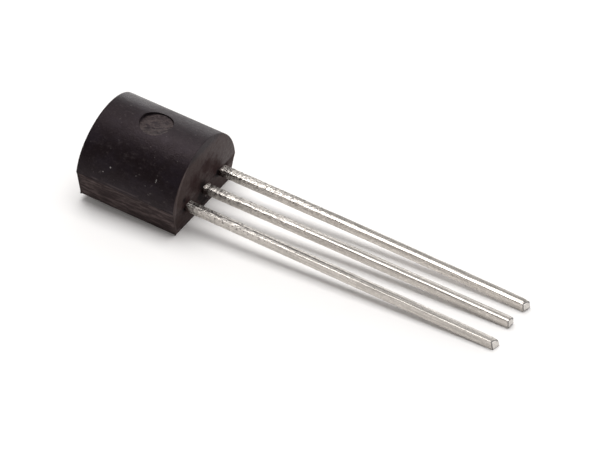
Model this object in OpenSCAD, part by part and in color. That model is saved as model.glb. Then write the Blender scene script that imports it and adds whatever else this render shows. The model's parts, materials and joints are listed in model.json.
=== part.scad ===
// Three-lead voltage regulator in a small D-shaped moulded package.
// Drawn with the flat face on z = 0, the leads running out along +X and the
// lead end of the body at x = 0, then turned to lie as it rests: on the lower
// edge of its lead end and on the tips of its leads.

/* [Moulded body] */
// Width across the round back
body_w = 4.54; // [4.4:0.01:4.8]
// Length of the body along the leads
body_h = 4.7; // [4.5:0.01:5.2]
// Depth from the flat face to the crest of the round back
body_d = 3.42; // [3.2:0.01:3.8]
// Width of the flat face
flat_w = 4.06; // [3.6:0.01:4.2]
// Draft of the end faces, in degrees
draft = 3; // [1:0.5:7]
// How far the flat half stands in from the round half at the parting line
parting_step = 0.02; // [0.01:0.01:0.06]

/* [Ejector pin mark] */
// Diameter of the pin mark on the crest
mark_d = 1.4; // [1:0.05:1.6]
// Depth of the pin mark below the crest
mark_depth = 0.18; // [0.15:0.01:0.3]
// Distance from the lead end to the middle of the pin mark
mark_from_end = 2.36; // [1.5:0.01:3]

/* [Leads] */
// Distance between neighbouring leads
lead_pitch = 1.27; // [1.22:0.01:1.34]
// Width of a lead
lead_w = 0.38; // [0.34:0.01:0.5]
// Thickness of the sheet that the leads are stamped from
lead_t = 0.34; // [0.3:0.01:0.45]
// Height of the leads' underside over the flat face
lead_rise = 0.92; // [0.8:0.01:1.1]
// Length of the leads outside the body
lead_len = 14.25; // [12.7:0.05:15]
// How far the tip of the ground lead leans towards the output lead
ground_lean = 0.09; // [-0.2:0.01:0.2]
// How far the tip of the input lead leans away from the ground lead
input_lean = 0.08; // [-0.2:0.01:0.2]

/* [Lead frame inside the body] */
// Length of the ground lead's neck, from the lead end to the paddle
neck_h = 1.7; // [1.5:0.05:1.9]
// Length of the paddle
paddle_h = 2.1; // [1.9:0.05:2.3]
// Width of the paddle
paddle_w = 1.6; // [1.45:0.05:1.7]
// Cut across each corner of the paddle and the posts
corner_cut = 0.15; // [0.05:0.01:0.2]
// Gap between the paddle and the bond posts
frame_gap = 0.2; // [0.15:0.01:0.24]
// Distance from the lead end to the bond posts
post_from_end = 1.35; // [1.1:0.05:1.5]
// Length of a bond post
post_h = 1.25; // [1:0.05:1.4]
// Width of a bond post
post_w = 0.8; // [0.7:0.01:0.85]
// Radius of the notches that lock the leads in the resin
notch_r = 0.07; // [0.04:0.01:0.09]
// Distance from the lead end to the locking notches
notch_from_end = 0.7; // [0.5:0.05:0.9]

/* [Die] */
// Length of the die along the leads
die_h = 1.0; // [0.8:0.05:1.1]
// Width of the die
die_w = 1.1; // [0.8:0.05:1.25]
// Thickness of the die
die_t = 0.28; // [0.2:0.01:0.35]
// Thickness of the layer that fixes the die to the paddle
attach_t = 0.03; // [0.02:0.01:0.06]
// How far the fixing layer squeezes out round the die
attach_rim = 0.04; // [0.02:0.01:0.08]
// Distance from the die to the far edge of the paddle
die_margin = 0.3; // [0.2:0.05:0.4]

/* [Bond wires] */
// Diameter of the wires
wire_d = 0.03; // [0.025:0.001:0.05]
// Height of a loop over the line between its two ends
loop_rise = 0.3; // [0.2:0.01:0.4]
// Distance from the edge of the die to the middle of a bond pad
pad_inset = 0.12; // [0.1:0.01:0.2]
// Distance from the shoulder of the paddle to the ground wire's foot
ground_foot_inset = 0.3; // [0.25:0.01:0.35]
// Diameter of the ball at the start of a wire
ball_d = 0.09; // [0.07:0.01:0.12]
// Height of the ball
ball_h = 0.02; // [0.015:0.001:0.03]
// Diameter of the pressed foot at the end of a wire
foot_d = 0.07; // [0.06:0.01:0.1]
// Thickness of the pressed foot
foot_h = 0.01; // [0.008:0.001:0.015]

/* [Hidden] */

resin = "#2c292a";
tin = "#b8b4ac";
solder = "#9a9a98";
silicon = "#5a6473";
gold = "#d8b04c";

back_r = body_w / 2;
back_z = body_d - back_r;
part_z = lead_rise + lead_t;
part_w = 2 * sqrt(back_r * back_r - (part_z - back_z) * (part_z - back_z));
lean_in = tan(draft);
// How far the lower edge of the lead end stands in from the parting line
edge_in = parting_step + part_z * lean_in;
rest_tilt = atan2(lead_rise, lead_len + edge_in);

attach_z = part_z + attach_t;
die_z = attach_z + die_t;
paddle_far = -neck_h - paddle_h;
die_x = paddle_far + die_margin + die_h / 2;
post_in = paddle_w / 2 + frame_gap;
post_mid = post_in + post_w / 2;
post_x = -post_from_end - post_h / 2;
pad_y = die_w / 2 - pad_inset;
pad_x = die_x + die_h / 2 - pad_inset;
ground_foot_x = -neck_h - ground_foot_inset;

fine = 96;
medium = 48;
wire_sides = 8;
loop_steps = 14;

// Lays the drawn part on the surface, on its lower edge and its lead tips
module at_rest() {
    rotate([0, rest_tilt, 0])
        translate([edge_in, 0, 0])
            children();
}

// Draws an outline of x and z as a solid across the body
module across(width) {
    rotate([90, 0, 0])
        linear_extrude(width, center = true)
            children();
}

// Draws an outline of y and z as a solid along the body
module along(length) {
    translate([-length, 0, 0])
        rotate([90, 0, 90])
            linear_extrude(length)
                children();
}

// Side view of the mould half above the parting line
module round_side() {
    top = body_d - part_z;
    polygon([
        [0, part_z],
        [-top * lean_in, body_d],
        [-body_h + top * lean_in, body_d],
        [-body_h, part_z]
    ]);
}

// Side view of the mould half below the parting line
module flat_side() {
    polygon([
        [-parting_step, part_z],
        [-edge_in, 0],
        [-body_h + edge_in, 0],
        [-body_h + parting_step, part_z]
    ]);
}

// End view of the mould half below the parting line
module flat_end() {
    half = part_w / 2 - parting_step;
    polygon([
        [half, part_z],
        [flat_w / 2, 0],
        [-flat_w / 2, 0],
        [-half, part_z]
    ]);
}

// Round back, drafted at both ends
module round_half() {
    intersection() {
        translate([-body_h, 0, back_z])
            rotate([0, 90, 0])
                cylinder(r = back_r, h = body_h, $fn = fine);
        across(body_w) round_side();
    }
}

// Flat front, drafted all round
module flat_half() {
    intersection() {
        along(body_h) flat_end();
        across(body_w) flat_side();
    }
}

// Recess that the ejector pin leaves on the crest
module pin_mark() {
    translate([-mark_from_end, 0, body_d - mark_depth])
        cylinder(d = mark_d, h = 2 * mark_depth, $fn = medium);
}

// Pair of notches that the resin fills to hold a lead, on its two edges
module lock_notches() {
    for (side = [-1, 1])
        translate([-notch_from_end, side * lead_w / 2])
            circle(r = notch_r, $fn = medium);
}

// Outline of the ground lead: tip, shank, neck and paddle
module ground_outline() {
    w = lead_w / 2;
    p = paddle_w / 2;
    c = corner_cut;
    difference() {
        polygon([
            [lead_len, ground_lean + w],
            [0, w],
            [-neck_h + c, w],
            [-neck_h, w + c],
            [-neck_h, p - c],
            [-neck_h - c, p],
            [paddle_far + c, p],
            [paddle_far, p - c],
            [paddle_far, -p + c],
            [paddle_far + c, -p],
            [-neck_h - c, -p],
            [-neck_h, -p + c],
            [-neck_h, -w - c],
            [-neck_h + c, -w],
            [0, -w],
            [lead_len, ground_lean - w]
        ]);
        lock_notches();
    }
}

// Outline of a side lead on the +Y side: tip, shank and bond post
module side_outline(lean) {
    in = lead_pitch - lead_w / 2;
    out = lead_pitch + lead_w / 2;
    near = -post_from_end;
    far = -post_from_end - post_h;
    post_out = post_in + post_w;
    c = corner_cut;
    difference() {
        polygon([
            [lead_len, out + lean],
            [0, out],
            [near, out],
            [near, post_out - c],
            [near - c, post_out],
            [far + c, post_out],
            [far, post_out - c],
            [far, post_in + c],
            [far + c, post_in],
            [near, post_in],
            [near, in],
            [0, in],
            [lead_len, in + lean]
        ]);
        translate([0, lead_pitch]) lock_notches();
    }
}

// Stamped sheet at the height of the lead frame
module stamped() {
    translate([0, 0, lead_rise])
        linear_extrude(lead_t)
            children();
}

module ground_solid() {
    stamped() ground_outline();
}

module output_solid() {
    stamped() side_outline(0);
}

module input_solid() {
    stamped() mirror([0, 1]) side_outline(input_lean);
}

module attach_solid() {
    rim = 2 * attach_rim;
    translate([die_x - die_h / 2 - attach_rim, -die_w / 2 - attach_rim, part_z])
        cube([die_h + rim, die_w + rim, attach_t]);
}

module die_solid() {
    translate([die_x - die_h / 2, -die_w / 2, attach_z])
        cube([die_h, die_w, die_t]);
}

// Point on a wire's loop, from a at t = 0 to b at t = 1, upright at both ends
function loop_point(a, b, t) =
    let (s = (1 - cos(180 * t)) / 2)
    a + (b - a) * s + [0, 0, loop_rise * sin(180 * t)];

// Direction of the loop at t
function loop_slope(a, b, t) =
    let (v = (b - a) * sin(180 * t) / 2 + [0, 0, loop_rise * cos(180 * t)])
    v / norm(v);

// Ring of points round the loop at t
function loop_ring(a, b, t) =
    let (
        run = [b.x - a.x, b.y - a.y, 0] / norm([b.x - a.x, b.y - a.y]),
        side = [-run.y, run.x, 0],
        up = cross(loop_slope(a, b, t), side),
        mid = loop_point(a, b, t)
    )
    [
        for (i = [0 : wire_sides - 1])
            let (turn = 360 * i / wire_sides)
            mid + wire_d / 2 * (side * cos(turn) + up * sin(turn))
    ];

// Wire in a loop from the ball on the die at a to the pressed foot at b
module bond_wire(a, b) {
    n = wire_sides;
    points = [
        for (k = [0 : loop_steps])
            each loop_ring(a, b, k / loop_steps)
    ];
    skin = [
        for (k = [0 : loop_steps - 1], i = [0 : n - 1])
            let (p = k * n + i, q = k * n + (i + 1) % n)
            each [[p, p + n, q], [q, p + n, q + n]]
    ];
    first = [for (i = [0 : n - 1]) i];
    last = [for (i = [n - 1 : -1 : 0]) loop_steps * n + i];
    polyhedron(points = points, faces = concat([first], skin, [last]));
    translate(a) cylinder(d = ball_d, h = ball_h, $fn = 12);
    translate(b) cylinder(d = foot_d, h = foot_h, $fn = 12);
}

module ground_bond() {
    bond_wire([pad_x, 0, die_z], [ground_foot_x, 0, part_z]);
}

module output_bond() {
    bond_wire([die_x, pad_y, die_z], [post_x, post_mid, part_z]);
}

module input_bond() {
    bond_wire([die_x, -pad_y, die_z], [post_x, -post_mid, part_z]);
}

// Everything that the resin was moulded round
module inlay() {
    ground_solid();
    output_solid();
    input_solid();
    attach_solid();
    die_solid();
    ground_bond();
    output_bond();
    input_bond();
}

module moulded_body() {
    color(resin) at_rest() difference() {
        union() {
            round_half();
            flat_half();
        }
        pin_mark();
        inlay();
    }
}

module ground_lead() {
    color(tin) at_rest() ground_solid();
}

module output_lead() {
    color(tin) at_rest() output_solid();
}

module input_lead() {
    color(tin) at_rest() input_solid();
}

module die_attach() {
    color(solder) at_rest() attach_solid();
}

module silicon_die() {
    color(silicon) at_rest() die_solid();
}

module ground_wire() {
    color(gold) at_rest() ground_bond();
}

module output_wire() {
    color(gold) at_rest() output_bond();
}

module input_wire() {
    color(gold) at_rest() input_bond();
}

moulded_body();
ground_lead();
output_lead();
input_lead();
die_attach();
silicon_die();
ground_wire();
output_wire();
input_wire();
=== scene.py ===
"""Looks of a small three-lead voltage regulator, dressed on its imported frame.

Every piece is modelled in millimetres in the drawing frame: the flat face on
z = 0, the leads running out along +X and the lead end of the body at x = 0.
Package.placement() then lays it on the surface, in metres, as the frame does.
"""

import json
import logging
import math
from contextlib import contextmanager
from dataclasses import dataclass
from enum import Enum
from typing import Callable, Iterable, Iterator

import bpy
from mathutils import Matrix, Vector, noise

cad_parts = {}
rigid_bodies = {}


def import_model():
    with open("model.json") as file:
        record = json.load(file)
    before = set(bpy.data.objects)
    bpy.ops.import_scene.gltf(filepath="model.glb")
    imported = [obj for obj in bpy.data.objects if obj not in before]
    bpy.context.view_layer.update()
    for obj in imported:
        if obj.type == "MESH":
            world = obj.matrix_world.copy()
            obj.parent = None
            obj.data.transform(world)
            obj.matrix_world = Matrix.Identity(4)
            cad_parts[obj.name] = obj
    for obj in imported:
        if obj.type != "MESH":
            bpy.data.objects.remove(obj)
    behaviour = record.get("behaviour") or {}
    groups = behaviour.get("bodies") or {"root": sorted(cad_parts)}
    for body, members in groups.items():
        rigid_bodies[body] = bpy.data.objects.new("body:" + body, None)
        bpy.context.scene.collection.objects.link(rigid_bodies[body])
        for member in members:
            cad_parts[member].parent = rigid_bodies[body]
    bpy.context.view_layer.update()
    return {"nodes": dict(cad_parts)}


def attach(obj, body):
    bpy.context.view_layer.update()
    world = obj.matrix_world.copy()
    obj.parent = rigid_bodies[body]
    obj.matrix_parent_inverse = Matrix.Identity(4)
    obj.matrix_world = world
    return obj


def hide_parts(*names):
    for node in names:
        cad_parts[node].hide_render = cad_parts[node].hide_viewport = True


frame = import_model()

log = logging.getLogger("regulator")

MM = 0.001
ROOT = "root"
SHEARED = "sheared"
# In millimetres: places that count as one, places that count as level, and
# the run along X past which an edge isn't part of a rounding.
TOUCHING, LEVEL, LONG = 1e-4, 1e-3, 0.1
# How much of its normal a face has along an axis to count as facing that way,
# and the angle up to which two faces count as one flat face.
FACING = 0.99
FLAT = math.radians(0.5)

Object = bpy.types.Object
Material = bpy.types.Material
Socket = bpy.types.NodeSocket
Triple = tuple[float, float, float]
Colour = tuple[float, float, float]
Band = tuple[float, float]
Value = Socket | float
Test = Callable[[Vector, Vector], bool]


class Pick(Enum):
    """What a selection in edit mode is made of, as Blender's three switches."""

    EDGES = (False, True, False)
    FACES = (False, False, True)


class LeadRole(Enum):
    """The three leads, with the side of the body that each leaves from."""

    OUTPUT = 1
    GROUND = 0
    INPUT = -1

    @property
    def node(self) -> str:
        """Name of the frame's node for this lead."""
        return f"{self.name.lower()}_lead"


@dataclass(frozen=True)
class Package:
    """Sizes of the moulded package in millimetres, and where it lies."""

    body_w: float = 4.54
    body_h: float = 4.70
    body_d: float = 3.42
    flat_w: float = 4.06
    draft: float = math.radians(3.0)
    parting_step: float = 0.02
    mark_d: float = 1.4
    mark_depth: float = 0.18
    mark_from_end: float = 2.36
    lead_pitch: float = 1.27
    lead_w: float = 0.38
    lead_t: float = 0.34
    lead_rise: float = 0.92
    lead_len: float = 14.25

    @property
    def back_r(self) -> float:
        """Radius of the round back."""
        return self.body_w / 2

    @property
    def back_z(self) -> float:
        """Height of the round back's axis over the flat face."""
        return self.body_d - self.back_r

    @property
    def part_z(self) -> float:
        """Height of the parting line, which is the leads' top face."""
        return self.lead_rise + self.lead_t

    @property
    def part_w(self) -> float:
        """Width of the round half at the parting line."""
        return 2 * math.sqrt(self.back_r**2 - (self.part_z - self.back_z) ** 2)

    @property
    def edge_in(self) -> float:
        """How far the flat's lower edge stands in from the lead end."""
        return self.parting_step + self.part_z * math.tan(self.draft)

    @property
    def tilt(self) -> float:
        """Turn that brings the lead tips down to the surface."""
        return math.atan2(self.lead_rise, self.lead_len + self.edge_in)

    def placement(self) -> Matrix:
        """Matrix from the drawing frame in millimetres to the resting frame in metres."""
        turn = Matrix.Rotation(self.tilt, 4, "Y")
        shift = Matrix.Translation((self.edge_in, 0, 0))
        return Matrix.Scale(MM, 4) @ turn @ shift


PART = Package()


@dataclass(frozen=True)
class LeadShape:
    """How one lead differs from the others, in millimetres and degrees.

    Its sideways lean at the tip, how far handling has bent the tip sideways and
    up, its roll where it leaves the body and at its tip, the height and sharpness
    of its crown on the near and on the far side, and its sheared tip: how much of
    it is missing, how its face slants with height and with width, and how far
    its upper corner is pressed down.
    """

    lean: float
    bend: Band
    roll: Band
    near_crown: Band
    far_crown: Band
    tip: Triple
    droop: float


LEADS = {
    LeadRole.OUTPUT: LeadShape(
        0.0, (-0.132, 0.045), (-0.5, -2.5), (0.033, 2), (0.016, 2), (-0.06, -0.20, 0.24), 0.05,
    ),
    LeadRole.GROUND: LeadShape(
        0.09, (-0.095, 0.030), (-2.5, -2.0), (0.044, 3), (0.048, 1.6), (-0.12, -0.10, 0.05), 0.02,
    ),
    LeadRole.INPUT: LeadShape(
        -0.08, (-0.025, 0.0), (-6.0, -8.0), (0.019, 2), (0.027, 2), (-0.03, -0.32, 0.20), 0.03,
    ),
}


def take(piece: Object) -> None:
    """Makes one piece the only selected and the active object.

    Args:
        piece: The object to work on.
    """
    bpy.ops.object.select_all(action="DESELECT")
    piece.select_set(True)
    bpy.context.view_layer.objects.active = piece


def bake_place(piece: Object) -> None:
    """Moves a piece's place, turn and scale into its mesh."""
    take(piece)
    bpy.ops.object.transform_apply(location=True, rotation=True, scale=True)


@contextmanager
def editing(piece: Object, pick: Pick, test: Test | None = None) -> Iterator[None]:
    """Opens a piece in edit mode with some of its edges or faces selected.

    Args:
        piece: The object to edit.
        pick: Whether edges or faces are selected.
        test: Called with an edge's two ends, or with a face's centre and normal,
            to say whether it is selected. Without a test, all are.
    """
    mesh = piece.data
    for kind in (mesh.vertices, mesh.edges, mesh.polygons):
        kind.foreach_set("select", [test is None] * len(kind))
    if test and pick is Pick.FACES:
        mesh.polygons.foreach_set("select", [test(f.center, f.normal) for f in mesh.polygons])
    elif test:
        at = [v.co for v in mesh.vertices]
        mesh.edges.foreach_set("select", [test(*(at[i] for i in e.vertices)) for e in mesh.edges])
    take(piece)
    bpy.context.tool_settings.mesh_select_mode = pick.value
    bpy.ops.object.mode_set(mode="EDIT")
    try:
        yield
    finally:
        bpy.ops.object.mode_set(mode="OBJECT")


def cut(piece: Object, point: Triple, normal: Triple) -> None:
    """Cuts a closed piece with a plane, drops what is in front and closes it.

    Args:
        piece: The object to cut.
        point: A point on the plane.
        normal: The plane's normal, towards what is dropped.
    """
    with editing(piece, Pick.FACES):
        bpy.ops.mesh.bisect(plane_co=point, plane_no=normal, use_fill=True, clear_outer=True)


def bevel(piece: Object, test: Test, width: float, segments: int) -> None:
    """Rounds the edges that pass a test.

    Args:
        piece: The object.
        test: Called with an edge's two ends.
        width: How far the rounding reaches from each edge.
        segments: Number of faces across the rounding.
    """
    with editing(piece, Pick.EDGES, test):
        bpy.ops.mesh.bevel(offset=width, segments=segments, affect="EDGES", clamp_overlap=False)


def subdivide(piece: Object, test: Test, cuts: int) -> None:
    """Divides the edges that pass a test by a number of cuts, and the faces between them."""
    with editing(piece, Pick.EDGES, test):
        bpy.ops.mesh.subdivide(number_cuts=cuts)


def carve(piece: Object, cutter: Object) -> None:
    """Takes the cutter's shape out of a piece, and the cutter out of the scene.

    Args:
        piece: The closed object that loses material.
        cutter: The closed object that is taken out.
    """
    take(piece)
    modifier = piece.modifiers.new("carve", "BOOLEAN")
    modifier.operation = "DIFFERENCE"
    modifier.solver = "MANIFOLD"
    modifier.object = cutter
    bpy.ops.object.modifier_apply(modifier=modifier.name)
    bpy.data.objects.remove(cutter)


def drawn_copy(node: str) -> Object:
    """Copies a frame node into the drawing frame, as one merged shell.

    Args:
        node: Name of the frame's node.

    Returns:
        The copy, in millimetres, with its flat faces whole.
    """
    source = frame["nodes"][node]
    copy = bpy.data.objects.new(f"{node}_drawn", source.data.copy())
    bpy.context.scene.collection.objects.link(copy)
    copy.data.transform(PART.placement().inverted())
    copy.data.materials.clear()
    with editing(copy, Pick.FACES):
        bpy.ops.mesh.remove_doubles(threshold=TOUCHING)
        bpy.ops.mesh.dissolve_limited(angle_limit=FLAT)
    return copy


def coat(piece: Object, finish: Material) -> None:
    """Gives the whole piece one material.

    Args:
        piece: The finished piece.
        finish: Its material.
    """
    piece.data.materials.clear()
    piece.data.materials.append(finish)
    piece.data.polygons.foreach_set("material_index", [0] * len(piece.data.polygons))


def finish_piece(piece: Object, name: str, sharp: float, finish: Material) -> None:
    """Lays a piece on the surface, smooths and coats it and lets it ride on the body.

    Args:
        piece: The finished shape, in the drawing frame.
        name: Name of the piece.
        sharp: Angle in degrees past which an edge stays sharp.
        finish: Its material.
    """
    piece.name = name
    piece.data.name = name
    piece.data.transform(PART.placement())
    take(piece)
    bpy.ops.object.shade_smooth_by_angle(angle=math.radians(sharp))
    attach(piece, ROOT)
    coat(piece, finish)


def smooth_step(low: float, high: float, value: float) -> float:
    """Eases from 0 at low to 1 at high."""
    t = min(max((value - low) / (high - low), 0.0), 1.0)
    return t * t * (3 - 2 * t)


@dataclass(frozen=True)
class Grain:
    """A noise pattern in the drawing frame.

    Its cells for each millimetre, its octaves of finer noise, their weight, and
    its own scale and shift along X, Y and Z.
    """

    cells: float
    octaves: float = 2
    weight: float = 0.5
    scale: Triple = (1.0, 1.0, 1.0)
    shift: Triple = (0.0, 0.0, 0.0)


@dataclass(frozen=True)
class Tint:
    """A colour that covers another, by the band of the field that shows it and its share."""

    colour: Colour
    band: Band
    share: float = 1.0


class Graph:
    """Short ways to lay out the nodes of a material or of the room."""

    # The mix node has its sockets once for each type of data: these are the colours'.
    mix_colours: tuple[int, int] = (6, 7)
    mixed_colour: int = 2

    def __init__(self, tree: bpy.types.NodeTree) -> None:
        """Starts with the node tree to fill."""
        self.tree = tree

    def add(self, kind: str, **inputs: Value) -> bpy.types.ShaderNode:
        """Adds a node of one kind and feeds its inputs, with underscores for spaces.

        Args:
            kind: The node's type.
            inputs: Sockets or values, each by the name of its input.

        Returns:
            The node.
        """
        node = self.tree.nodes.new(kind)
        for name, value in inputs.items():
            self.feed(value, node.inputs[name.replace("_", " ")])
        return node

    def feed(self, value: Value | Triple, end: Socket) -> None:
        """Joins a socket to an input, or writes a value on it.

        Args:
            value: The socket, number, coordinates or colour.
            end: The input.
        """
        if isinstance(value, Socket):
            self.tree.links.new(value, end)
        elif end.type == "RGBA":
            end.default_value = (*value, 1)
        else:
            end.default_value = value

    def fold(self, kind: str, values: Iterable[Value]) -> Socket:
        """Joins values by one operation, from left to right.

        Args:
            kind: The operation.
            values: Two or more sockets or numbers.

        Returns:
            The result.
        """
        total, *others = values
        for value in others:
            step = self.add("ShaderNodeMath")
            step.operation = kind
            self.feed(total, step.inputs[0])
            self.feed(value, step.inputs[1])
            total = step.outputs[0]
        return total

    def plus(self, *values: Value) -> Socket:
        """Sum of the values."""
        return self.fold("ADD", values)

    def times(self, *values: Value) -> Socket:
        """Product of the values."""
        return self.fold("MULTIPLY", values)

    def most(self, *values: Value) -> Socket:
        """Greatest of the values."""
        return self.fold("MAXIMUM", values)

    def least(self, *values: Value) -> Socket:
        """Least of the values."""
        return self.fold("MINIMUM", values)

    def minus(self, a: Value, b: Value) -> Socket:
        """First value less the second."""
        return self.fold("SUBTRACT", (a, b))

    def rest(self, share: Socket) -> Socket:
        """What a share leaves of the whole."""
        return self.minus(1.0, share)

    def apart(self, a: Value, b: Value) -> Socket:
        """How far two values are from each other."""
        return self.fold("ABSOLUTE", (self.minus(a, b), 0.0))

    def ramp(self, value: Socket, band: Band, to: Band = (0, 1)) -> Socket:
        """Eases a value from one range to another, held at both ends.

        Args:
            value: The value to read.
            band: Where the ease starts and where it ends.
            to: The two results.

        Returns:
            The eased value.
        """
        step = self.add(
            "ShaderNodeMapRange", Value=value,
            From_Min=band[0], From_Max=band[1], To_Min=to[0], To_Max=to[1],
        )
        step.interpolation_type = "SMOOTHSTEP"
        return step.outputs["Result"]

    def axes(self, at: Socket) -> Iterable[Socket]:
        """The three coordinates of a place."""
        return self.add("ShaderNodeSeparateXYZ", Vector=at).outputs

    def mix(self, share: Socket, a: Colour | Socket, b: Colour | Socket) -> Socket:
        """Blends two colours by a share.

        Args:
            share: Share of the second colour.
            a: The first colour.
            b: The second colour.

        Returns:
            The blend.
        """
        blend = self.add("ShaderNodeMix", Factor=share)
        blend.data_type = "RGBA"
        for value, index in zip((a, b), self.mix_colours):
            self.feed(value, blend.inputs[index])
        return blend.outputs[self.mixed_colour]

    def cover(self, colour: Colour | Socket, field: Socket, tint: Tint) -> Socket:
        """Lays a tint over a colour where a field is in the tint's band."""
        return self.mix(self.times(self.ramp(field, tint.band), tint.share), colour, tint.colour)


class Surface(Graph):
    """A material, laid out in the drawing frame's coordinates."""

    # Radius along X that makes an ellipsoid pass for a round bar near the lead end.
    deep: float = 9.0

    def __init__(self, name: str) -> None:
        """Starts a material with its shader, and coordinates that undo the placement.

        Args:
            name: Name of the material.
        """
        self.material = bpy.data.materials.new(name)
        self.material.use_nodes = True
        super().__init__(self.material.node_tree)
        self.shader = self.tree.nodes["Principled BSDF"]
        source = self.add("ShaderNodeTexCoord").outputs["Object"]
        undo = self.add(
            "ShaderNodeMapping", Vector=source, Scale=(1 / MM,) * 3,
            Rotation=(0, -PART.tilt, 0), Location=(-PART.edge_in, 0, 0),
        )
        self.place = undo.outputs["Vector"]
        self.x, self.y, self.z = self.axes(self.place)

    def stretch(self, scale: Triple, shift: Triple = (0.0, 0.0, 0.0)) -> Socket:
        """Coordinates with their own scale along each axis, and a shift after it."""
        moved = self.add("ShaderNodeMapping", Vector=self.place, Scale=scale, Location=shift)
        return moved.outputs["Vector"]

    def noise(self, grain: Grain, at: Socket | None = None) -> Socket:
        """Smooth noise from 0 to 1.

        Args:
            grain: The pattern.
            at: Coordinates to read in place of the pattern's own.

        Returns:
            The noise value.
        """
        if at is None:
            at = self.stretch(grain.scale, grain.shift)
        texture = self.add(
            "ShaderNodeTexNoise", Vector=at,
            Scale=grain.cells, Detail=grain.octaves, Roughness=grain.weight,
        )
        return texture.outputs["Fac"]

    def near(self, point: Triple, radii: Triple) -> Socket:
        """Distance from a point in the drawing frame, which is 1 on an ellipse.

        Args:
            point: Middle of the ellipse.
            radii: Its radii along X, Y and Z.

        Returns:
            The distance.
        """
        shift = tuple(-p / r for p, r in zip(point, radii))
        moved = self.stretch(tuple(1 / r for r in radii), shift)
        length = self.add("ShaderNodeVectorMath")
        length.operation = "LENGTH"
        self.feed(moved, length.inputs[0])
        return length.outputs["Value"]

    def off_axis(self, y: float, z: float, radius: float) -> Socket:
        """Distance from a line along X, which is 1 on a round of one radius."""
        return self.near((0, y, z), (self.deep, radius, radius))

    def relief(self, *layers: tuple[Socket, float, float]) -> Socket:
        """Lays bumps over one another.

        Args:
            layers: For each, its height from 0 to 1, the height of 1 in
                millimetres and the share of it that shows.

        Returns:
            The bumped normal.
        """
        under = {}
        for height, rise, share in layers:
            step = self.add(
                "ShaderNodeBump", Height=height, Distance=rise * MM, Strength=share, **under
            )
            under = {"Normal": step.outputs["Normal"]}
        return under["Normal"]

    def shade(self, **inputs: Value | Colour) -> Material:
        """Feeds the shader's inputs and hands over the material.

        Args:
            inputs: Sockets or values, each by its input's name with underscores.

        Returns:
            The material.
        """
        for name, value in inputs.items():
            self.feed(value, self.shader.inputs[name.replace("_", " ")])
        return self.material


class Resin(Surface):
    """The resin's material, with the noises and shares that its layers have in common."""

    def __init__(self) -> None:
        """Lays out what the layers have in common."""
        super().__init__("moulding_resin")
        self.cloud = self.noise(Grain(1.6, 4, 0.62, (0.7, 1.0, 1.0)))
        self.mottle = self.noise(Grain(7.0, 3, 0.6, (0.6, 1.0, 1.0)))
        self.grain = self.noise(Grain(15, 3, 0.6))
        self.ragged = self.noise(Grain(3.2, 4, 0.65))
        self.above = self.minus(self.z, PART.part_z)
        self.flat_half = self.ramp(self.above, (0.02, -0.02))
        self.at_end = self.ramp(self.x, (-0.1, -0.085))
        self.handled = self.ramp(self.x, (-2.5, -3.5))


@dataclass(frozen=True)
class RoundBack:
    """Colour of the round back: cloudy and dusty, with a painted sheen along its crest."""

    base: Colour = (0.0075, 0.0044, 0.0052)
    cloudy: Tint = Tint((0.0125, 0.0090, 0.0125), (0.4, 0.7))
    dusty: Tint = Tint((0.0290, 0.0225, 0.0235), (0.53, 0.76))
    grainy: Tint = Tint((0.0290, 0.0225, 0.0235), (0.54, 0.70), 0.45)
    lint: Tint = Tint((0.0900, 0.0780, 0.0760), (0.71, 0.77), 0.5)
    fluff: Grain = Grain(8.0, 1, 0.5, (0.8, 1.0, 1.0), (7.7, 0, 0))
    # Painted sheen: a lighter colour along the crest that stands in for part of its highlight.
    crest_sheen: Colour = (0.0165, 0.0126, 0.0142)
    sheen_near: Band = (-0.75, -0.2)
    sheen_far: Band = (1.9, 1.3)
    sheen_cloud: Band = (0.2, 0.55)
    sheen_range: Band = (0.55, 1.0)

    def colour(self, g: Resin) -> Socket:
        """Colour of the back.

        Args:
            g: The resin.

        Returns:
            The colour.
        """
        # Painted sheen along the crest, broken by the cloud noise and left off towards the far
        # end.
        crest = g.times(g.ramp(g.y, self.sheen_near), g.ramp(g.y, self.sheen_far))
        cloud = g.ramp(g.cloud, self.sheen_cloud, self.sheen_range)
        colour = g.cover(self.base, g.cloud, self.cloudy)
        colour = g.mix(g.times(crest, g.rest(g.handled), cloud), colour, self.crest_sheen)
        colour = g.cover(colour, g.mottle, self.dusty)
        colour = g.cover(colour, g.grain, self.grainy)
        return g.cover(colour, g.noise(self.fluff), self.lint)


@dataclass(frozen=True)
class MouldLanes:
    """Pale streaks along the flat half, with a few above the parting line."""

    lanes: Grain = Grain(2.3, 5, 0.72, (0.48, 0.8, 2.5))
    band: Band = (0.42, 0.68)
    reach: Band = (0.5, 0.0)
    reach_share: float = 0.09
    lip_height: float = 0.1
    lip: Band = (0.06, 0.02)
    lip_cloud: Band = (0.42, 0.6)
    lip_share: float = 0.36
    far_end: Band = (0.12, 0.10)
    far_end_share: float = 0.6
    foot: Band = (0.06, 0.01)

    def share(self, g: Resin) -> Socket:
        """How streaky the resin is.

        Args:
            g: The resin.

        Returns:
            The share.
        """
        reach = g.plus(g.flat_half, g.times(g.ramp(g.above, self.reach), self.reach_share))
        lanes = g.times(g.ramp(g.noise(self.lanes), self.band), g.least(reach, 1.0))
        lip = g.ramp(g.apart(g.above, self.lip_height), self.lip)
        lanes = g.most(lanes, g.times(lip, g.ramp(g.cloud, self.lip_cloud), self.lip_share))
        far_end = g.times(g.ramp(g.plus(g.x, PART.body_h), self.far_end), self.far_end_share)
        return g.times(lanes, g.rest(g.at_end), g.rest(g.most(far_end, g.ramp(g.z, self.foot))))


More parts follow.
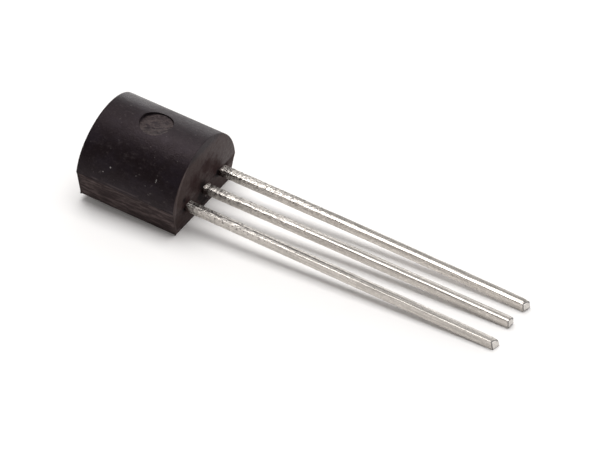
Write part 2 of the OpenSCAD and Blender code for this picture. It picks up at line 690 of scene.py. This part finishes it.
@dataclass(frozen=True)
class LeadEnd:
    """The face that the leads leave from: brown, with a painted highlight along its near rim and
    darker patches around the lead roots.

    The patches are (y, z, radius) in millimetres.
    """

    base: Colour = (0.0310, 0.0183, 0.0160)
    low: Colour = (0.0560, 0.0400, 0.0370)
    # Painted highlight along the near rim of the end face.
    rim: Colour = (0.0700, 0.0520, 0.0490)
    # Colours of the darker patches and of the darkest patches at the lead roots.
    patch_colour: Colour = (0.0190, 0.0075, 0.0068)
    darkest_colour: Colour = (0.0025, 0.0012, 0.0010)
    dark_patches: tuple[Triple, ...] = (
        (0.15, 2.10, 0.42), (0.75, 1.62, 0.45), (-0.75, 1.90, 0.42), (-0.35, 1.40, 0.42),
        (-0.15, 0.85, 0.45), (0.05, 0.30, 0.35), (-1.42, 1.35, 0.28), (-1.42, 0.85, 0.26),
    )
    darkest_patches: tuple[Triple, ...] = (
        (1.02, 1.14, 0.24), (-0.20, 1.38, 0.24), (-0.22, 0.72, 0.33), (0.10, 0.34, 0.30),
        (0.36, 0.14, 0.18), (-1.45, 1.04, 0.18), (-1.54, 1.54, 0.14),
    )
    low_side: Band = (1.5, 1.8)
    low_height: Band = (0.55, 0.8)
    low_dull: float = 0.6
    rim_band: Band = (0.93, 0.965)
    highlight_side: Band = (-0.9, -1.6)
    highlight_cloud: Band = (0.3, 0.55)
    highlight_range: Band = (0.3, 1.0)
    patch_edge: float = 0.85
    fray: float = 2.6
    patch_soft: float = 1.5
    patch_share: float = 0.9
    darkest_soft: float = 0.85

    def patches(self, g: Resin, spots: tuple[Triple, ...], ragged: Socket, soft: float) -> Socket:
        """Share of ragged patches.

        Args:
            g: The resin.
            spots: Middle and radius of each patch.
            ragged: Noise that frays the patches' edges.
            soft: How far the edges fade, as a share of the radius.

        Returns:
            The share, 1 inside the patches.
        """
        nearest = g.least(*(g.off_axis(*spot) for spot in spots))
        frayed = g.plus(nearest, g.times(g.minus(ragged, 0.5), self.fray))
        return g.ramp(frayed, (self.patch_edge + soft / 2, self.patch_edge - soft / 2))

    def dress(self, g: Resin, colour: Socket) -> tuple[Socket, Socket]:
        """Lays the end over the colour of the rest.

        Args:
            g: The resin.
            colour: The colour of the rest.

        Returns:
            The colour, and how dull the end is in its patches and on its lower part.
        """
        lower = g.times(g.at_end, g.flat_half)
        corner = g.times(lower, g.ramp(g.y, self.low_side), g.ramp(g.z, self.low_height))
        from_axis = g.off_axis(0, PART.back_z, PART.back_r)
        # Painted highlight on the end face's near rim, broken by the cloud noise.
        rim = g.times(g.ramp(from_axis, self.rim_band), g.ramp(g.y, self.highlight_side), g.at_end)
        rim = g.times(rim, g.ramp(g.cloud, self.highlight_cloud, self.highlight_range))
        # Darker patches around the lead roots, and the darkest ones right at them.
        patched = g.times(self.patches(g, self.dark_patches, g.ragged, self.patch_soft), g.at_end)
        darkened = g.times(self.patches(g, self.darkest_patches, g.mottle, self.darkest_soft), g.at_end)
        colour = g.mix(g.at_end, colour, self.base)
        colour = g.mix(corner, colour, self.low)
        colour = g.mix(rim, colour, self.rim)
        colour = g.mix(g.times(patched, self.patch_share), colour, self.patch_colour)
        colour = g.mix(darkened, colour, self.darkest_colour)
        return colour, g.most(patched, darkened, g.times(lower, self.low_dull))


@dataclass(frozen=True)
class PinMark:
    """Pale ridges that run aslant on the floor of the pin mark."""

    colour: Colour = (0.0640, 0.0500, 0.0470)
    pattern: Grain = Grain(1.25, 3, 0.65)
    band: Band = (0.36, 0.62)
    edge: Band = (1.0, 0.95)
    floor: Band = (0.03, 0.01)
    along: Band = (2.2, 1.4)
    across: Band = (-4.1, 6.4)
    fray: float = 3.0
    mottle_band: Band = (0.2, 0.5)
    mottle_range: Band = (0.5, 1.0)

    def share(self, g: Resin) -> Socket:
        """How ridged the resin is.

        Args:
            g: The resin.

        Returns:
            The share.
        """
        p = PART
        floor = p.body_d - p.mark_depth
        from_middle = g.near((-p.mark_from_end, 0, floor), (p.mark_d / 2,) * 3)
        inside = g.times(g.ramp(from_middle, self.edge), g.ramp(g.minus(g.z, floor), self.floor))
        along, across = (
            g.plus(g.times(g.x, a), g.times(g.y, b)) for a, b in (self.along, self.across)
        )
        across = g.plus(across, g.times(g.ragged, self.fray))
        slanted = g.add("ShaderNodeCombineXYZ", X=along, Y=across, Z=g.z).outputs["Vector"]
        ridges = g.ramp(g.noise(self.pattern, slanted), self.band)
        return g.times(ridges, g.ramp(g.mottle, self.mottle_band, self.mottle_range), inside)


@dataclass(frozen=True)
class SpecksAndGlints:
    """Pale specks on the round back, and painted glints on the lead end, as (x, y, z, radius) in
    millimetres.
    """

    colour: Colour = (0.3200, 0.3000, 0.2900)
    band: Band = (1.1, 0.6)
    # The last three, on the lead end, are painted glints; the others are pale specks on the round
    # back.
    specks: tuple[tuple[float, float, float, float], ...] = (
        (-3.20, -2.06, 2.11, 0.038), (-3.48, -2.16, 1.83, 0.030), (-1.11, -1.91, 2.38, 0.022),
        (-1.115, -1.93, 2.33, 0.026), (-1.12, -1.955, 2.27, 0.028), (-2.02, -2.01, 2.21, 0.017),
        (-1.52, -2.11, 2.00, 0.016), (-3.60, -2.18, 1.72, 0.018), (-0.06, 0.18, 0.47, 0.030),
        (-0.07, 0.34, 0.26, 0.020), (-0.08, 0.02, 0.24, 0.014),
    )

    def share(self, g: Resin) -> Socket:
        """Share of the specks and glints, 1 inside them."""
        nearest = g.least(*(g.near((x, y, z), (r,) * 3) for x, y, z, r in self.specks))
        return g.ramp(nearest, self.band)


@dataclass(frozen=True)
class ResinFinish:
    """Black moulding resin: cloudy gloss and a painted sheen on the back, a streaky matt flat
    half, a patchy end with a painted highlight on its rim and painted glints.
    """

    flat: Colour = (0.0350, 0.0248, 0.0240)
    streak: Colour = (0.1120, 0.0850, 0.0810)
    glow: Colour = (1.0, 0.80, 0.87)
    gloss: float = 0.18
    roughness: Band = (0.37, 0.51)
    matt: float = 0.40
    sleek: float = 0.15
    sleek_side: Band = (0.1, 0.75)
    sleek_range: Band = (-0.6, 1.0)
    rough_band: Band = (0.25, 0.75)
    mottle_bump: Band = (0.010, 1.0)
    grain_bump: Band = (0.008, 0.9)
    lane_bump: Band = (0.010, 1.0)
    ridge_bump: Band = (0.012, 1.0)
    back: RoundBack = RoundBack()
    mould_lanes: MouldLanes = MouldLanes()
    lead_end: LeadEnd = LeadEnd()
    pin_mark: PinMark = PinMark()
    specks_and_glints: SpecksAndGlints = SpecksAndGlints()

    def make(self) -> Material:
        """Lays out the material.

        Returns:
            The material.
        """
        g = Resin()
        lanes = self.mould_lanes.share(g)
        ridges = self.pin_mark.share(g)
        colour = g.mix(g.flat_half, self.back.colour(g), self.flat)
        colour = g.mix(lanes, colour, self.streak)
        colour, matt_share = self.lead_end.dress(g, colour)
        colour = g.mix(ridges, colour, self.pin_mark.colour)
        # Pale specks on the back, and painted glints on the lead end.
        colour = g.mix(self.specks_and_glints.share(g), colour, self.specks_and_glints.colour)
        normal = g.relief(
            (g.mottle, *self.mottle_bump), (g.grain, *self.grain_bump),
            (g.times(lanes, g.flat_half), *self.lane_bump), (ridges, *self.ridge_bump),
        )
        sleek = g.times(g.handled, g.ramp(g.y, self.sleek_side, self.sleek_range), self.sleek)
        dull = g.times(g.most(g.times(g.flat_half, g.rest(g.at_end)), matt_share), self.matt)
        rough = g.plus(g.minus(g.ramp(g.mottle, self.rough_band, self.roughness), sleek), dull)
        return g.shade(
            Base_Color=colour, Normal=normal, Roughness=rough,
            Specular_IOR_Level=self.gloss, Specular_Tint=self.glow,
        )


@dataclass(frozen=True)
class TinFinish:
    """Dull bright tin over the leads, with drawn lines, pitted roots darkened by flux and by
    painted shade, bare cut tips.
    """

    base: Colour = (0.52, 0.485, 0.449)
    bright: Tint = Tint((0.68, 0.638, 0.592), (0.35, 0.7))
    dull: Tint = Tint(base, (0.6, 0.42))
    line: Tint = Tint((0.34, 0.317, 0.291), (0.5, 0.62), 0.55)
    pit: Colour = (0.14, 0.125, 0.12)
    # Dark flux at the roots, with painted shade where it reaches further out along each lead's
    # lower side.
    flux_and_shade: Tint = Tint((0.09, 0.064, 0.058), (0.48, 0.16))
    cut_edge: Tint = Tint((0.17, 0.16, 0.155), (0.05, 0.35))
    cut_face: Tint = Tint((0.58, 0.555, 0.525), (0.45, 0.85))
    roughness: Band = (0.33, 0.21)
    rough_band: Band = (0.3, 0.7)
    duller: float = 0.03
    duller_side: Band = (0.9, 0.5)
    drawn: Grain = Grain(2.6, 3, 0.6, (0.5, 11.0, 11.0))
    lines: Grain = Grain(8.5, 2, 0.55, (0.03, 1.0, 1.0), (0, 2.7, 0))
    grain: Grain = Grain(16, 3, 0.65)
    flecks: Grain = Grain(9, 3, 0.7, (0.6, 1.0, 1.0), (3.1, 0, 0))
    root: Band = (8.5, 0.5)
    ticks: Grain = Grain(11, 2, 0.5, (0.7, 1.0, 1.0), (0, 5.2, 0))
    tick_band: Band = (0.56, 0.64)
    tick_shares: Band = (0.12, 0.85)
    tick_height: Band = (0.14, 0.29)
    tick_range: Band = (0.25, 1.0)
    groove_off: float = 0.02
    groove_width: Band = (0.055, 0.02)
    groove_run: Band = (12.5, 5.0)
    groove_gaps: Band = (0.66, 0.48)
    flux_and_shade_fray: float = 0.5
    flux_and_shade_climb: float = 0.8
    blobs: Grain = Grain(8.5, 2, 0.5)
    blob_bump: Band = (0.022, 1.0)
    grain_bump: Band = (0.014, 1.0)
    grain_rest: float = 0.2
    line_bump: Band = (0.014, 1.0)
    drawn_bump: Band = (0.004, 0.6)

    def groove(self, g: Surface, flecks: Socket) -> Socket:
        """Share of the broken dark line along the crest of the input lead.

        Args:
            g: The material.
            flecks: Noise that breaks the line.

        Returns:
            The share.
        """
        lean = LEADS[LeadRole.INPUT].lean / PART.lead_len
        crest = g.plus(g.times(g.x, lean), self.groove_off - PART.lead_pitch)
        whole = g.times(g.ramp(g.x, self.groove_run), g.ramp(flecks, self.groove_gaps))
        return g.times(g.ramp(g.apart(g.y, crest), self.groove_width), whole)

    def make(self) -> Material:
        """Lays out the material.

        Returns:
            The material.
        """
        g = Surface("tinned_lead")
        patterns = (self.drawn, self.lines, self.flecks, self.ticks)
        drawn, lines, flecks, ticks = (g.noise(pattern) for pattern in patterns)
        root = g.ramp(g.x, self.root)
        height = g.minus(g.z, PART.lead_rise)
        cut_end = g.add("ShaderNodeAttribute")
        cut_end.attribute_name = SHEARED
        sheared = cut_end.outputs["Fac"]
        few, many = self.tick_shares
        pits = g.times(g.ramp(ticks, self.tick_band), g.plus(few, g.times(root, many)))
        pits = g.times(pits, g.ramp(height, self.tick_height, self.tick_range))
        # Flux and painted shade at the root, reaching further out lower down the lead.
        flux_and_shade_reach = g.plus(g.x, g.times(g.minus(ticks, 0.5), self.flux_and_shade_fray))
        flux_and_shade_reach = g.plus(flux_and_shade_reach, g.times(height, self.flux_and_shade_climb))
        colour = g.cover(self.base, drawn, self.bright)
        colour = g.cover(colour, flecks, self.dull)
        colour = g.cover(colour, lines, self.line)
        colour = g.mix(pits, colour, self.pit)
        colour = g.mix(self.groove(g, flecks), colour, self.pit)
        colour = g.cover(colour, flux_and_shade_reach, self.flux_and_shade)
        colour = g.cover(colour, sheared, self.cut_edge)
        colour = g.cover(colour, sheared, self.cut_face)
        grain = g.times(g.noise(self.grain), g.plus(self.grain_rest, root))
        normal = g.relief(
            (g.times(g.noise(self.blobs), root), *self.blob_bump), (grain, *self.grain_bump),
            (lines, *self.line_bump), (drawn, *self.drawn_bump),
        )
        rough = g.ramp(flecks, self.rough_band, self.roughness)
        rough = g.plus(rough, g.ramp(g.y, self.duller_side, (0.0, self.duller)))
        return g.shade(Base_Color=colour, Normal=normal, Metallic=1.0, Roughness=rough)


@dataclass(frozen=True)
class InnerMetal:
    """Metal of a piece inside the resin: solder or gold, with its own grain."""

    name: str
    light: Colour
    dark: Colour
    grain: float
    roughness: Band
    ripple: float

    def make(self) -> Material:
        """Lays out the material.

        Returns:
            The material.
        """
        g = Surface(self.name)
        grain = g.noise(Grain(self.grain, 4, 0.6))
        broad = g.noise(Grain(self.grain / 5))
        colour = g.cover(self.dark, grain, Tint(self.light, (0.35, 0.68)))
        colour = g.cover(colour, broad, Tint(self.dark, (0.6, 0.35)))
        rough = g.ramp(grain, (0.3, 0.7), self.roughness)
        normal = g.relief((grain, self.ripple, 1.0))
        return g.shade(Base_Color=colour, Metallic=1.0, Normal=normal, Roughness=rough)


@dataclass(frozen=True)
class SiliconFinish:
    """Polished silicon, with aluminium tracks on its upper face and a darker sawn rim."""

    wafer: Colour = (0.030, 0.034, 0.046)
    oxide: Tint = Tint((0.085, 0.060, 0.110), (0.30, 0.36))
    track: Tint = Tint((0.560, 0.560, 0.570), (0.52, 0.58))
    sawn: Tint = Tint((0.022, 0.022, 0.024), (0.6, 0.4))
    gloss: float = 0.9
    cells: float = 9.0
    upper_band: Band = (0.8, 0.95)
    fine: Grain = Grain(22, 3, 0.6)
    ripple: float = 0.0015
    rough_band: Band = (0.3, 0.7)
    roughness: Band = (0.12, 0.22)

    def make(self) -> Material:
        """Lays out the material.

        Returns:
            The material.
        """
        g = Surface("polished_silicon")
        level = g.stretch((1.0, 1.0, 0.0))
        blocks = g.add("ShaderNodeTexVoronoi", Vector=level, Scale=self.cells).outputs["Distance"]
        fine = g.noise(self.fine)
        _, _, facing = g.axes(g.add("ShaderNodeNewGeometry").outputs["Normal"])
        colour = g.cover(g.cover(self.wafer, blocks, self.oxide), blocks, self.track)
        sides = g.cover(self.wafer, fine, self.sawn)
        colour = g.mix(g.ramp(facing, self.upper_band), sides, colour)
        return g.shade(
            Base_Color=colour, Normal=g.relief((fine, self.ripple, 1.0)),
            Roughness=g.ramp(fine, self.rough_band, self.roughness), Specular_IOR_Level=self.gloss,
        )


@dataclass
class Inlay:
    """What the resin holds besides the leads: solder layer, chip and three bond wires."""

    solder: InnerMetal = InnerMetal(
        "attach_solder", (0.47, 0.46, 0.45), (0.30, 0.29, 0.285), 14.0, (0.42, 0.55), 0.004,
    )
    gold: InnerMetal = InnerMetal(
        "gold_wire", (0.95, 0.70, 0.30), (0.80, 0.54, 0.20), 30.0, (0.20, 0.32), 0.0008,
    )
    silicon: SiliconFinish = SiliconFinish()
    wires: tuple[str, ...] = ("ground_wire", "output_wire", "input_wire")

    def dress(self) -> None:
        """Gives each of the frame's own inner pieces its finish."""
        finishes = {"die_attach": self.solder.make(), "silicon_die": self.silicon.make()}
        for node, finish in (finishes | dict.fromkeys(self.wires, self.gold.make())).items():
            for slot in frame["nodes"][node].material_slots:
                slot.material = finish
            log.info("%s: dressed in %s", node, finish.name)


@dataclass
class MouldedBody:
    """The moulded resin body, with its two mould halves, pin mark and inlay."""

    finish: Material
    sides: int = 256
    corner: float = 0.016
    corner_faces: int = 3
    foot_faces: int = 2
    foot_share: float = 0.8
    rings: int = 52
    rows: int = 23
    pin_sides: int = 96
    pin_corner: float = 0.025
    ripple: float = 0.004
    ripple_cells: float = 1.1
    ripple_bias: float = 0.3
    lane: float = 0.020
    lane_cells: Triple = (0.35, 0.2, 4.8)
    lane_bias: float = 0.4
    steep: float = 0.5
    sharp: float = 20
    inlay: tuple[str, ...] = (
        "ground_lead", "output_lead", "input_lead", "die_attach",
        "silicon_die", "ground_wire", "output_wire", "input_wire",
    )

    def round_half(self) -> Object:
        """Models the round back, drafted and rounded at both ends.

        Returns:
            The round half.
        """
        p = PART
        bpy.ops.mesh.primitive_cylinder_add(
            vertices=self.sides, radius=p.back_r, depth=p.body_h,
            location=(-p.body_h / 2, 0, p.back_z), rotation=(0, math.pi / 2, 0),
        )
        shell = bpy.context.object
        bake_place(shell)
        lean = (math.cos(p.draft), math.sin(p.draft))
        cut(shell, (0, 0, p.part_z), (0, 0, -1))
        cut(shell, (0, 0, p.part_z), (lean[0], 0, lean[1]))
        cut(shell, (-p.body_h, 0, p.part_z), (-lean[0], 0, lean[1]))

        def on_rim(a: Vector, b: Vector) -> bool:
            """Whether an edge lies on one of the two end arcs."""
            flush = abs(a.x - b.x) < LONG and max(a.z, b.z) > p.part_z + TOUCHING
            out = (math.hypot(v.y, v.z - p.back_z) > p.back_r - LEVEL for v in (a, b))
            return flush and all(out)

        bevel(shell, on_rim, self.corner, self.corner_faces)
        return shell

    def add_flat_half(self, shell: Object) -> None:
        """Draws the flat half down from the round half's lower face.

        Args:
            shell: The round half.
        """
        p = PART
        step = p.parting_step
        with editing(shell, Pick.FACES, lambda centre, normal: normal.z < -FACING):
            bpy.ops.mesh.inset(thickness=step)
            bpy.ops.mesh.extrude_region_move(TRANSFORM_OT_translate={"value": (0, 0, -p.part_z)})
            along = (p.body_h - 2 * p.edge_in) / (p.body_h - 2 * step)
            across = p.flat_w / (p.part_w - 2 * step)
            middle = (-p.body_h / 2, 0, 0)
            bpy.ops.transform.resize(value=(along, across, 1), center_override=middle)
        foot = step * self.foot_share
        bevel(shell, lambda a, b: max(a.z, b.z) < TOUCHING, foot, self.foot_faces)

    def divide(self, shell: Object) -> None:
        """Divides the long faces, so that the moulding's unevenness has points to move.

        Args:
            shell: The two halves.
        """
        p = PART

        def upright(a: Vector, b: Vector) -> bool:
            """Whether an edge runs up the flat half."""
            return abs(a.z - b.z) > p.part_z / 2 and max(a.z, b.z) < p.part_z + LEVEL

        subdivide(shell, lambda a, b: abs(a.x - b.x) > p.body_h / 2, self.rings)
        subdivide(shell, upright, self.rows)

    def roughen(self, shell: Object) -> None:
        """Sinks the points a few microns, and the flat half in streaks along it.

        Args:
            shell: The divided shell.
        """
        p = PART
        vertices = shell.data.vertices
        normals = [v.normal.copy() for v in vertices]
        for v, n in zip(vertices, normals):
            if v.co.z < TOUCHING:
                continue
            wave = self.ripple * (noise.noise(v.co * self.ripple_cells) - self.ripple_bias)
            if v.co.z < p.part_z - p.parting_step and abs(n.z) < self.steep:
                lane = Vector([a * b for a, b in zip(v.co, self.lane_cells)])
                wave += self.lane * (noise.noise(lane) - self.lane_bias)
            v.co += n * min(wave, 0.0)

    def press_pin_mark(self, shell: Object) -> None:
        """Presses the ejector pin's round recess into the crest.

        Args:
            shell: The moulded shell.
        """
        p = PART
        bpy.ops.mesh.primitive_cylinder_add(
            vertices=self.pin_sides, radius=p.mark_d / 2, depth=2 * p.mark_depth,
            location=(-p.mark_from_end, 0, p.body_d),
        )
        pin = bpy.context.object
        bake_place(pin)
        floor = p.body_d - p.mark_depth + TOUCHING
        bevel(pin, lambda a, b: max(a.z, b.z) < floor, self.pin_corner, self.corner_faces)
        carve(shell, pin)

    def build(self) -> None:
        """Models the whole body."""
        shell = self.round_half()
        self.add_flat_half(shell)
        self.divide(shell)
        self.roughen(shell)
        self.press_pin_mark(shell)
        for node in self.inlay:
            carve(shell, drawn_copy(node))
        finish_piece(shell, "resin_body", self.sharp, self.finish)
        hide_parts("moulded_body")
        log.info("resin_body: %d faces", len(shell.data.polygons))


@dataclass
class StampedLead:
    """One stamped lead with its paddle or post inside and its tinned shank outside."""

    role: LeadRole
    finish: Material
    corner: float = 0.014
    corner_faces: int = 3
    root_x: float = -0.12
    still_x: float = 0.004
    settle: Band = (0.0, 0.2)
    crown_rise: float = 0.008
    near_taper: float = 0.018
    taper_band: Band = (-0.4, 1.0)
    seed: float = 7.3
    lump: float = 0.013
    lump_fade: Band = (0.6, 7.5)
    broad_cells: Triple = (4.5, 7, 7)
    fine_cells: Triple = (10, 13, 13)
    fine_share: float = 0.7
    under_side: float = -0.5
    under_share: float = 0.4
    wave: float = 0.004
    wave_cells: Triple = (1.1, 3, 3)
    bend_from: float = 5.5
    tip_run: float = 0.3
    bare_run: float = 0.07
    bare_share: float = 0.6
    rim_band: Band = (0.72, 1.0)
    rim_back: float = 0.016
    upper_corner: Band = (0.7, 1.5)
    tip_grain: float = 0.014
    tip_cells: float = 9
    sharp: float = 50
    slack: float = 0.02
    top_cuts: int = 11
    side_cuts: int = 7
    spans: tuple[tuple[float, int], ...] = ((1.6, 85), (3.9, 99), (13.5, 99), (14.25, 34))
    tip_rings: tuple[float, ...] = (0.94, 0.82, 0.66, 0.46, 0.24)

    @property
    def shape(self) -> LeadShape:
        """This lead's own shape."""
        return LEADS[self.role]

    @property
    def middle(self) -> Vector:
        """Middle of the shank's section where it leaves the body."""
        p = PART
        return Vector((0, self.role.value * p.lead_pitch, p.lead_rise + p.lead_t / 2))

    def inner_part(self) -> Object:
        """Takes the part inside the resin from the frame's own lead."""
        piece = drawn_copy(self.role.node)
        cut(piece, (self.root_x, 0, 0), (1, 0, 0))
        return piece

    def draw_shank(self, piece: Object) -> None:
        """Draws the shank out of the cut end in spans, and rounds its long edges.

        Args:
            piece: The part inside the resin.
        """
        before = self.root_x
        start = before - LEVEL
        with editing(piece, Pick.FACES, lambda at, normal: normal.x > FACING and at.x > start):
            for station, _ in self.spans:
                run = station - before
                bpy.ops.mesh.extrude_region_move(TRANSFORM_OT_translate={"value": (run, 0, 0)})
                before = station

        def along(a: Vector, b: Vector) -> bool:
            """Whether an edge runs along the shank."""
            return min(a.x, b.x) > start and abs(a.x - b.x) > LONG

        bevel(piece, along, self.corner, self.corner_faces)

    def divide(self, piece: Object) -> None:
        """Divides the shank across and along, and its cut end into rings.

        Args:
            piece: The lead with its shank.
        """
        p = PART
        start = self.root_x + LONG
        low = self.root_x

        def across(a: Vector, b: Vector) -> bool:
            """Whether an edge crosses one of the shank's faces along an axis."""
            return min(a.x, b.x) > start and abs(a[axis] - b[axis]) > size / 2

        def within(a: Vector, b: Vector) -> bool:
            """Whether an edge runs along one span of the shank."""
            return abs(a.x + b.x - low - high) < self.slack and abs(a.x - b.x) > LONG

        for axis, size, cuts in ((1, p.lead_w, self.top_cuts), (2, p.lead_t, self.side_cuts)):
            subdivide(piece, across, cuts)
        for high, cuts in self.spans:
            subdivide(piece, within, cuts)
            low = high
        tip = self.middle + Vector((p.lead_len, 0, 0))
        before = 1.0
        last = p.lead_len - LEVEL
        with editing(piece, Pick.FACES, lambda at, normal: normal.x > FACING and at.x > last):
            for share in self.tip_rings:
                bpy.ops.mesh.extrude_region_move(TRANSFORM_OT_translate={"value": (0, 0, 0)})
                size = share / before
                bpy.ops.transform.resize(value=(1, size, size), center_override=tip)
                before = share

    def lump_at(self, point: Vector) -> float:
        """Height of the solder lumps and of the shank's slow waves at a place.

        Args:
            point: The place on the shank.

        Returns:
            The height in millimetres, either way.
        """
        seed = (0, 0, self.seed * self.role.value)

        def draw(cells: Triple) -> float:
            """Noise at the point, by its cells for each millimetre."""
            return noise.noise(Vector([p * c + s for p, c, s in zip(point, cells, seed)]))

        near = 1 - smooth_step(*self.lump_fade, point.x)
        lumps = draw(self.broad_cells) + self.fine_share * draw(self.fine_cells)
        return self.lump * near * lumps + self.wave * draw(self.wave_cells)

    def shear(self, point: Vector, u: float, w: float) -> float:
        """Shears the last of the shank askew and presses its upper corner down.

        Args:
            point: A point of the lead, which is moved.
            u: Its place across the section, from -1 to 1.
            w: Its place up the section, from -1 to 1.

        Returns:
            How bare of tin the point is.
        """
        p, own = PART, self.shape
        end = smooth_step(p.lead_len - self.tip_run, p.lead_len, point.x)
        if end <= 0:
            return 0.0
        short, by_height, by_width = own.tip
        rim = smooth_step(*self.rim_band, max(abs(u), abs(w)))
        bare = smooth_step(p.lead_len - self.bare_run, p.lead_len, point.x)
        corner = smooth_step(*self.upper_corner, u + w)
        slant = short + by_height * w * p.lead_t / 2 + by_width * u * p.lead_w / 2
        point.x += end * (slant - self.rim_back * rim)
        point.z -= end * own.droop * max(w, 0) * (1 + u) / 2
        point.x += end * self.tip_grain * noise.noise(point * self.tip_cells)
        return bare * (1 - self.bare_share * max(rim, corner))

    def mould(self, piece: Object) -> None:
        """Crowns and rolls the shank, leans it, lumps its root and shears its tip.

        Args:
            piece: The divided lead.
        """
        p, own, middle = PART, self.shape, self.middle
        half_w, half_t = p.lead_w / 2, p.lead_t / 2
        normals = [v.normal.copy() for v in piece.data.vertices]
        sheared = piece.data.attributes.new(SHEARED, "FLOAT", "POINT").data
        for v, normal in zip(piece.data.vertices, normals):
            if v.co.x < self.still_x:
                continue
            out = smooth_step(*self.settle, v.co.x)
            u = (v.co.y - middle.y) / half_w
            w = (v.co.z - middle.z) / half_t
            lump = self.lump_at(v.co) * (1.0 if w > self.under_side else self.under_share)
            upper = smooth_step(0.0, 1.0, w) * out
            crown, power = own.near_crown if u < 0 else own.far_crown
            drop = (crown * abs(u) ** power - self.crown_rise) * upper
            roll = own.roll[0] + (own.roll[1] - own.roll[0]) * v.co.x / p.lead_len
            tilt = math.tan(math.radians(roll)) * u * half_w * upper
            at = v.co + Vector((0, normal.y, normal.z)) * lump * out
            at.z += tilt - drop
            at.y += self.near_taper * max(-u, 0) * smooth_step(*self.taper_band, w) * out
            sheared[v.index].value = self.shear(at, u, w)
            bent = max(0.0, (at.x - self.bend_from) / (p.lead_len - self.bend_from))
            at.y += own.lean * at.x / p.lead_len + own.bend[0] * bent ** 2
            at.z += own.bend[1] * bent ** 2
            v.co = at

    def build(self) -> None:
        """Models the lead."""
        piece = self.inner_part()
        self.draw_shank(piece)
        self.divide(piece)
        self.mould(piece)
        name = f"{self.role.name.lower()}_lead_tinned"
        finish_piece(piece, name, self.sharp, self.finish)
        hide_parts(self.role.node)
        log.info("%s: %d faces", piece.name, len(piece.data.polygons))


def turned_to(right: Vector, up: Vector, back: Vector, place: Vector) -> Matrix:
    """Placement of a camera or lamp, by its own three axes and its place."""
    return Matrix.Translation(place) @ Matrix((right, up, back)).transposed().to_4x4()


@dataclass(frozen=True)
class Camera:
    """The camera at the photograph's viewing angle."""

    azimuth: float = math.radians(32.371)
    elevation: float = math.radians(40.692)
    roll: float = math.radians(-1.362)
    distance: float = 192.03
    lens: float = 286.21
    sensor: float = 36
    clip: Band = (0.01, 20)
    target: Triple = (3.5805, 1.6343, -0.6241)

    def build(self) -> None:
        """Places the camera and makes it the scene's own."""
        level, rise = math.cos(self.elevation), math.sin(self.elevation)
        right = Vector((math.cos(self.azimuth), math.sin(self.azimuth), 0))
        back = Vector((right.y * level, -right.x * level, rise))
        place = (back * self.distance + Vector(self.target)) * MM
        data = bpy.data.cameras.new("camera")
        data.sensor_width = self.sensor
        data.lens = self.lens
        data.clip_start, data.clip_end = self.clip
        camera = bpy.data.objects.new("camera", data)
        bpy.context.scene.collection.objects.link(camera)
        turned = turned_to(right, back.cross(right), back, place)
        camera.matrix_world = turned @ Matrix.Rotation(self.roll, 4, "Z")
        bpy.context.scene.camera = camera


@dataclass(frozen=True)
class Studio:
    """A plain pale floor under one soft lamp, in a room that is darker on the camera's side."""

    floor_half: float = 3.0
    floor_colour: Colour = (0.95, 0.935, 0.925)
    lift_colour: Colour = (1.0, 0.93, 0.89)
    lift: float = 0.05
    room_front: float = 0.19
    room_back: float = 0.45
    room_low: float = 2.2
    depth_band: Band = (-0.35, 0.4)
    low_band: Band = (0.42, 0.24)
    behind_band: Band = (-0.1, 0.2)
    lamp_size: Band = (0.37, 0.215)
    lamp_side: Triple = (-0.12, 0.17, 0.975)
    lamp_far: float = 0.35
    lamp_power: float = 1.10

    def floor(self) -> None:
        """Lays the floor that the part rests on."""
        bpy.ops.mesh.primitive_plane_add(size=2 * self.floor_half, location=(0, 0, 0))
        plane = bpy.context.object
        plane.name = "floor"
        g = Surface("pale_floor")
        path = g.add("ShaderNodeLightPath").outputs
        seen = g.most(*(path[f"Is {kind} Ray"] for kind in ("Camera", "Glossy", "Transmission")))
        coat(plane, g.shade(
            Base_Color=self.floor_colour, Roughness=1.0, Specular_IOR_Level=0.0,
            Emission_Color=self.lift_colour, Emission_Strength=g.times(seen, self.lift),
        ))

    def room(self) -> None:
        """Makes the room's light: dim in front, brighter behind, brightest low down behind."""
        world = bpy.data.worlds.new("room")
        world.use_nodes = True
        bpy.context.scene.world = world
        g = Graph(world.node_tree)
        _, y, z = g.axes(g.add("ShaderNodeTexCoord").outputs["Generated"])
        depth = g.ramp(y, self.depth_band, (self.room_front, self.room_back))
        low = g.times(g.ramp(z, self.low_band), g.ramp(y, self.behind_band))
        blend = g.add("ShaderNodeMix", Factor=low, A=depth, B=self.room_low)
        light = g.tree.nodes["Background"].inputs
        g.feed((1, 1, 1), light["Color"])
        g.feed(blend.outputs["Result"], light["Strength"])

    def lamp(self) -> None:
        """Hangs the soft lamp over the part, a little behind it."""
        data = bpy.data.lights.new("overhead_lamp", "AREA")
        data.shape = "RECTANGLE"
        data.size, data.size_y = self.lamp_size
        data.energy = self.lamp_power
        lamp = bpy.data.objects.new("overhead_lamp", data)
        bpy.context.scene.collection.objects.link(lamp)
        away = Vector(self.lamp_side).normalized()
        across = (Vector((1, 0, 0)) - away * away.x).normalized()
        lamp.matrix_world = turned_to(across, away.cross(across), away, away * self.lamp_far)

    def build(self) -> None:
        """Builds floor, room and lamp."""
        self.floor()
        self.room()
        self.lamp()
        bpy.context.scene.view_settings.view_transform = "Standard"


def main() -> None:
    """Builds the pieces in order and reports each one."""
    logging.basicConfig(level=logging.INFO, format="%(name)s: %(message)s")
    Camera().build()
    Studio().build()
    MouldedBody(ResinFinish().make()).build()
    tin = TinFinish().make()
    for role in LeadRole:
        StampedLead(role, tin).build()
    Inlay().dress()


if __name__ == "__main__":
    main()
